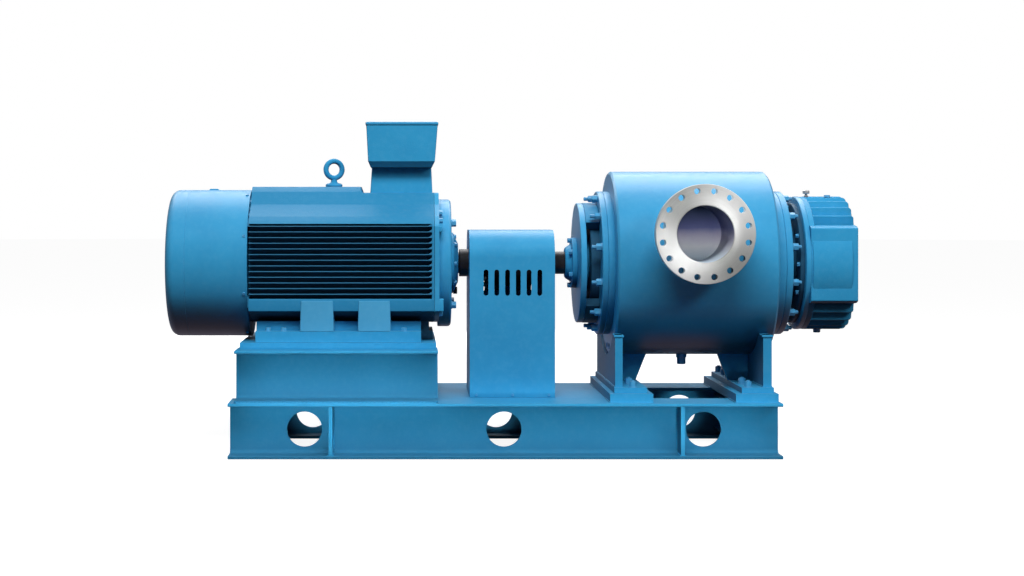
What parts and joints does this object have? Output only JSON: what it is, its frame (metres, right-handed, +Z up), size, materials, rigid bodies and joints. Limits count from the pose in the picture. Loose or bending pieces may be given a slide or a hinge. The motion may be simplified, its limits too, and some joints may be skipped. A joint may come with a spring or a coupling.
{
  "type": "twin screw pump set",
  "caption": "Horizontal twin screw pump driven by an electric motor through a guarded shaft coupling, on a steel beam skid with side nozzles.",
  "frame": {"origin": "bottom centre of the bounding box, on the ground under the middle of the set", "axes": "+X along the shaft from the motor to the pump, +Y to the rear nozzle, +Z up"},
  "size_m": [3.194, 1.26, 1.5336],
  "materials": {
    "blue_paint": "satin machinery enamel",
    "base_paint": "satin machinery enamel on plate and beams",
    "dark_steel": "dark oiled steel",
    "bright_steel": "machined"
  },
  "bodies": {
    "pump_set": {"bearing_disc": "blue_paint", "cross_beam_1": "base_paint", "cross_beam_2": "base_paint", "cross_beam_3": "base_paint", "cross_beam_4": "base_paint", "deck_plate": "base_paint", "drain_plug": "blue_paint", "drive_cover": "blue_paint", "end_cover": "blue_paint", "eye_bolt": "blue_paint", "fan_cowl": "blue_paint", "gear_breather": "bright_steel", "gear_case": "blue_paint", "gear_flange": "blue_paint", "guard_end_motor": "blue_paint", "guard_end_pump": "blue_paint", "guard_wrap": "blue_paint", "lantern_bottom": "blue_paint", "lantern_top": "blue_paint", "motor_bearing_cap": "blue_paint", "motor_bed_plate": "base_paint", "motor_drive_shield": "blue_paint", "motor_foot_front": "blue_paint", "motor_foot_rear": "blue_paint", "motor_frame": "blue_paint", "motor_nondrive_shield": "blue_paint", "motor_stool_front": "base_paint", "motor_stool_rear": "base_paint", "nozzle_front": "bright_steel", "nozzle_rear": "bright_steel", "pump_bearing_cap": "blue_paint", "pump_casing": "blue_paint", "pump_foot_left": "blue_paint", "pump_foot_right": "blue_paint", "pump_pad_left": "base_paint", "pump_pad_right": "base_paint", "skid_beam_front": "base_paint", "skid_beam_rear": "base_paint", "terminal_box": "blue_paint", "terminal_lid": "blue_paint", "terminal_neck": "blue_paint"},
    "rotor": {"motor_fan": "dark_steel", "motor_shaft": "dark_steel", "coupling": "dark_steel", "pump_shaft": "dark_steel"}
  },
  "joints": [
    {"name": "shaft_spin", "type": "hinge", "parent": "pump_set", "child": "rotor", "pos_m": [0, 0, 0.87], "axis": [1, 0, 0], "continuous": true}
  ]
}
